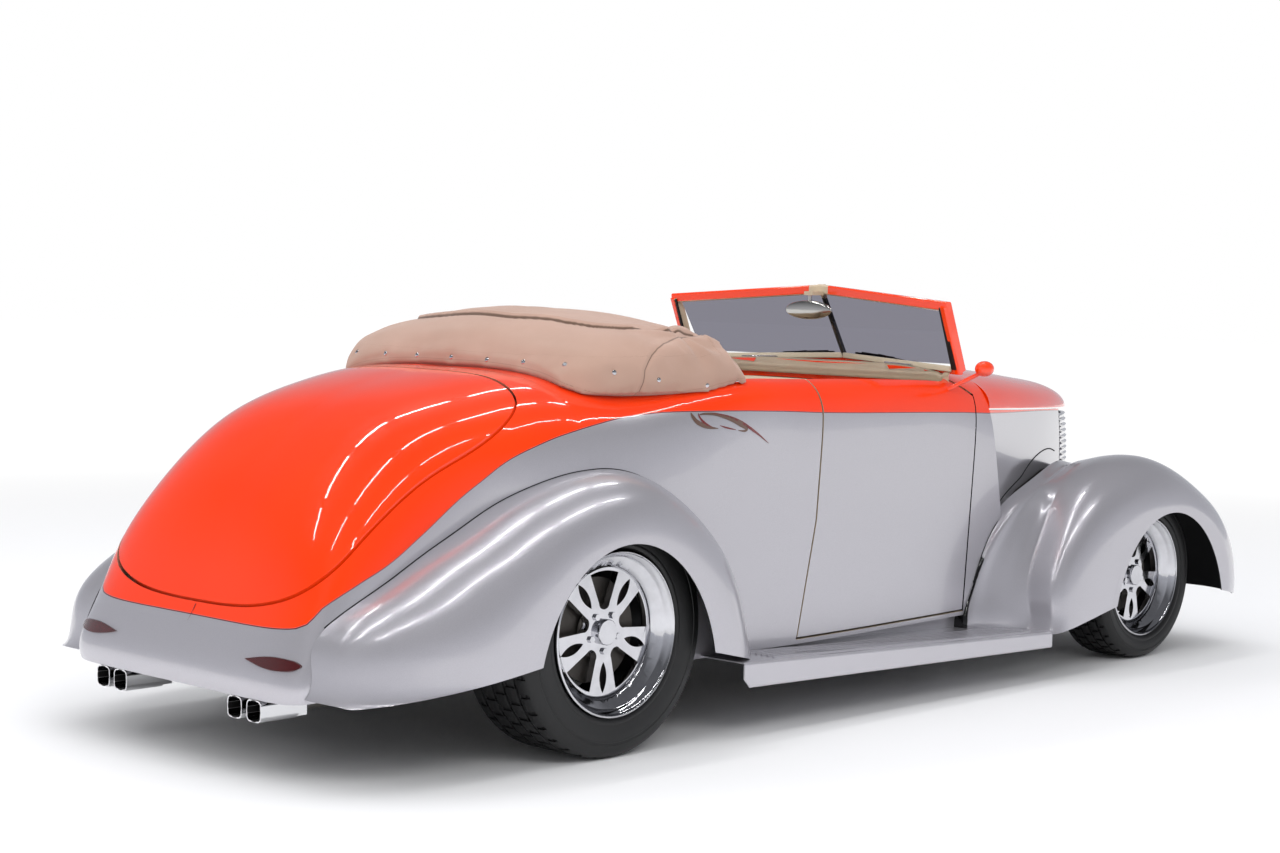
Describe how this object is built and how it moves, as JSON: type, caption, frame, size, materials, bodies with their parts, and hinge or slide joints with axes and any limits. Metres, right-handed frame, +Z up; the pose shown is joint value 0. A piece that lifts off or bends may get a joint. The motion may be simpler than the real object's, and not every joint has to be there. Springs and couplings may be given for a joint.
{
  "type": "street rod roadster",
  "caption": "Open two-seat street rod with separate rounded fenders, running boards, a vee windshield, a long pointed hood and a padded cover over the folded top.",
  "frame": {"origin": "centre of the bounding box's base, on the ground midway between the nose and the tail, on the centre plane", "axes": "+X forward, +Y to the left side of the car, +Z up"},
  "size_m": [4.4874, 1.8068, 1.3864],
  "materials": {
    "two_tone_paint": "gloss silver below, orange above, in metallic paint",
    "orange_paint": "gloss",
    "silver_paint": "gloss metallic",
    "black_paint": "satin",
    "smoked_glass": "clear smoked",
    "tan_leather": "satin",
    "tan_canvas": "matt weave",
    "cast_metal": "as cast",
    "polished_steel": "polished",
    "red_lens": "gloss",
    "clear_lens": "gloss",
    "varnished_wood": "gloss varnish",
    "polished_alloy": "polished",
    "tyre_rubber": "matt"
  },
  "bodies": {
    "body": {"chassis_frame": "black_paint", "floor_pan": "black_paint", "body_shell": "two_tone_paint", "cowl": "two_tone_paint", "roll_pan": "two_tone_paint", "rear_fender_left": "two_tone_paint", "rear_fender_right": "two_tone_paint", "front_fender_left": "two_tone_paint", "front_fender_right": "two_tone_paint", "front_apron": "two_tone_paint", "running_board_left": "silver_paint", "running_board_right": "silver_paint", "hood_side_left": "two_tone_paint", "hood_side_right": "two_tone_paint", "grille": "silver_paint", "windshield_frame": "orange_paint", "windshield_glass": "smoked_glass", "dashboard": "tan_leather", "seat_cushion": "tan_leather", "seat_back": "tan_leather", "top_boot": "tan_canvas", "engine_block": "cast_metal", "exhaust_system": "polished_steel", "tail_lights": "red_lens", "headlights": "clear_lens", "front_suspension": "black_paint", "rear_axle": "black_paint", "fuel_tank": "black_paint", "steering_column": "black_paint", "radiator": "cast_metal"},
    "left_door": {"door_left": "two_tone_paint", "side_mirror_left": "orange_paint"},
    "right_door": {"door_right": "two_tone_paint", "side_mirror_right": "orange_paint"},
    "trunk_lid": {"deck_lid": "two_tone_paint"},
    "hood": {"hood_lid": "two_tone_paint"},
    "left_knuckle": {"knuckle_left": "cast_metal"},
    "right_knuckle": {"knuckle_right": "cast_metal"},
    "rear_left_wheel": {"rim_rear_left": "polished_alloy", "tyre_rear_left": "tyre_rubber"},
    "rear_right_wheel": {"rim_rear_right": "polished_alloy", "tyre_rear_right": "tyre_rubber"},
    "front_left_wheel": {"rim_front_left": "polished_alloy", "tyre_front_left": "tyre_rubber"},
    "front_right_wheel": {"rim_front_right": "polished_alloy", "tyre_front_right": "tyre_rubber"},
    "hand_wheel": {"steering_wheel": "varnished_wood"}
  },
  "joints": [
    {"name": "left_door_hinge", "type": "hinge", "parent": "body", "child": "left_door", "pos_m": [0.7045, 0.63, 0.6], "axis": [0, 0, -1], "range_deg": [0, 65]},
    {"name": "right_door_hinge", "type": "hinge", "parent": "body", "child": "right_door", "pos_m": [0.7045, -0.63, 0.6], "axis": [0, 0, 1], "range_deg": [0, 65]},
    {"name": "trunk_hinge", "type": "hinge", "parent": "body", "child": "trunk_lid", "pos_m": [-1.34617, 0, 1.10646], "axis": [0, 1, 0], "range_deg": [0, 55]},
    {"name": "hood_hinge", "type": "hinge", "parent": "body", "child": "hood", "pos_m": [0.7982, 0, 1.092], "axis": [0, -1, 0], "range_deg": [0, 45]},
    {"name": "steering", "type": "hinge", "parent": "body", "child": "hand_wheel", "pos_m": [0.3075, 0.34, 0.935], "axis": [-0.8775, 0, 0.4796], "range_deg": [-450, 450]},
    {"name": "left_king_pin", "type": "hinge", "parent": "body", "child": "left_knuckle", "pos_m": [1.5925, 0.61, 0.31], "axis": [0, 0, 1], "range_deg": [-30, 30]},
    {"name": "right_king_pin", "type": "hinge", "parent": "body", "child": "right_knuckle", "pos_m": [1.5925, -0.61, 0.31], "axis": [0, 0, 1], "range_deg": [-30, 30]},
    {"name": "front_left_wheel_spin", "type": "hinge", "parent": "left_knuckle", "child": "front_left_wheel", "pos_m": [1.5925, 0.7, 0.31], "axis": [0, 1, 0], "continuous": true},
    {"name": "front_right_wheel_spin", "type": "hinge", "parent": "right_knuckle", "child": "front_right_wheel", "pos_m": [1.5925, -0.7, 0.31], "axis": [0, 1, 0], "continuous": true},
    {"name": "rear_left_wheel_spin", "type": "hinge", "parent": "body", "child": "rear_left_wheel", "pos_m": [-1.2525, 0.66, 0.369], "axis": [0, 1, 0], "continuous": true},
    {"name": "rear_right_wheel_spin", "type": "hinge", "parent": "body", "child": "rear_right_wheel", "pos_m": [-1.2525, -0.66, 0.369], "axis": [0, 1, 0], "continuous": true}
  ],
  "couplings": [
    {"joint": "left_king_pin", "follows": "steering", "ratio": 0.066667},
    {"joint": "right_king_pin", "follows": "steering", "ratio": 0.066667}
  ]
}
